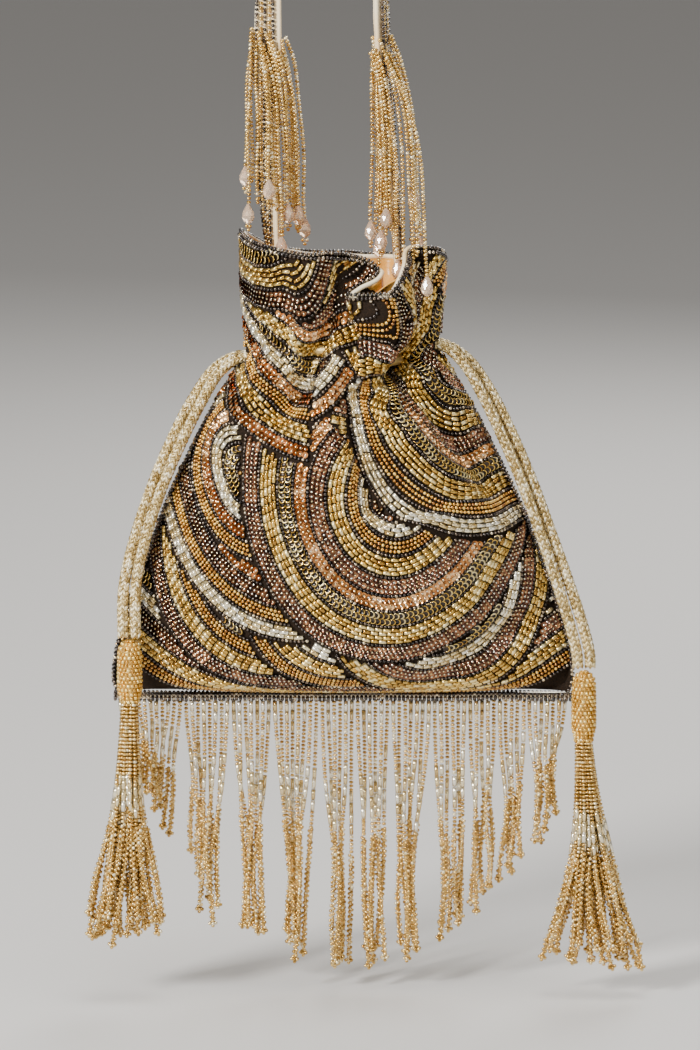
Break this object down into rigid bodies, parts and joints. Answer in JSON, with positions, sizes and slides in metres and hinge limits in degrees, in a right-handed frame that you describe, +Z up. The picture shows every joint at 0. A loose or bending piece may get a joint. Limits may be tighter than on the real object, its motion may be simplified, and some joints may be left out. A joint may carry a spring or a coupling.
{
  "type": "potli bag",
  "caption": "Beaded drawstring pouch with a satin lining, a strand fringe, two tasselled drawstrings and a padded strap handle.",
  "frame": {"origin": "middle of the flat underside of the handle's top, where a hook or a hand carries the bag", "axes": "+Z up, +X to the right of the bag seen from its front, -Y towards its front"},
  "size_m": [0.2596, 0.0919, 0.5099],
  "materials": {
    "beaded_cloth": "dark cloth covered with gold, copper and silver beads and sequins",
    "satin": "cream gold satin",
    "dark_beads": "dark silver lined seed beads",
    "gold_beads": "gold lined seed and bugle beads",
    "zari_cord": "knitted metallic gold cord",
    "crystal": "faceted peach glass"
  },
  "bodies": {
    "root": {"front_panel": "beaded_cloth", "back_panel": "beaded_cloth", "satin_lining": "satin", "rim_beading": "dark_beads", "bottom_beading": "dark_beads", "drawstring_left": "zari_cord", "drawstring_right": "zari_cord", "handle_strap": "satin", "handle_beading": "dark_beads", "fringe_lock_01": "gold_beads", "fringe_lock_02": "gold_beads", "fringe_lock_03": "gold_beads", "fringe_lock_04": "gold_beads", "fringe_lock_05": "gold_beads", "fringe_lock_06": "gold_beads", "fringe_lock_07": "gold_beads", "fringe_lock_08": "gold_beads", "fringe_lock_09": "gold_beads", "fringe_lock_10": "gold_beads", "fringe_lock_11": "gold_beads", "fringe_lock_12": "gold_beads", "left_bead_string_1": "gold_beads", "left_bead_string_2": "gold_beads", "left_bead_string_3": "gold_beads", "left_bead_string_4": "gold_beads", "left_bead_string_5": "gold_beads", "left_bead_string_6": "gold_beads", "left_bead_string_7": "gold_beads", "left_bead_string_8": "gold_beads", "right_bead_string_1": "gold_beads", "right_bead_string_2": "gold_beads", "right_bead_string_3": "gold_beads", "right_bead_string_4": "gold_beads", "right_bead_string_5": "gold_beads", "right_bead_string_6": "gold_beads", "right_bead_string_7": "gold_beads", "right_bead_string_8": "gold_beads", "left_crystal_1": "crystal", "left_crystal_2": "crystal", "left_crystal_3": "crystal", "left_crystal_4": "crystal", "left_crystal_5": "crystal", "left_crystal_6": "crystal", "left_crystal_7": "crystal", "left_crystal_8": "crystal", "right_crystal_1": "crystal", "right_crystal_2": "crystal", "right_crystal_3": "crystal", "right_crystal_4": "crystal", "right_crystal_5": "crystal", "right_crystal_6": "crystal", "right_crystal_7": "crystal", "right_crystal_8": "crystal"},
    "left_tassel": {"left_tassel_binding": "gold_beads", "left_tassel_skirt": "gold_beads"},
    "right_tassel": {"right_tassel_binding": "gold_beads", "right_tassel_skirt": "gold_beads"}
  },
  "joints": [
    {"name": "left_tassel_swing", "type": "hinge", "parent": "root", "child": "left_tassel", "pos_m": [-0.088, -0.023, -0.3535], "axis": [0, 1, 0], "range_deg": [-10, 35]},
    {"name": "right_tassel_swing", "type": "hinge", "parent": "root", "child": "right_tassel", "pos_m": [0.118, -0.015, -0.3695], "axis": [0, 1, 0], "range_deg": [-35, 8]}
  ]
}
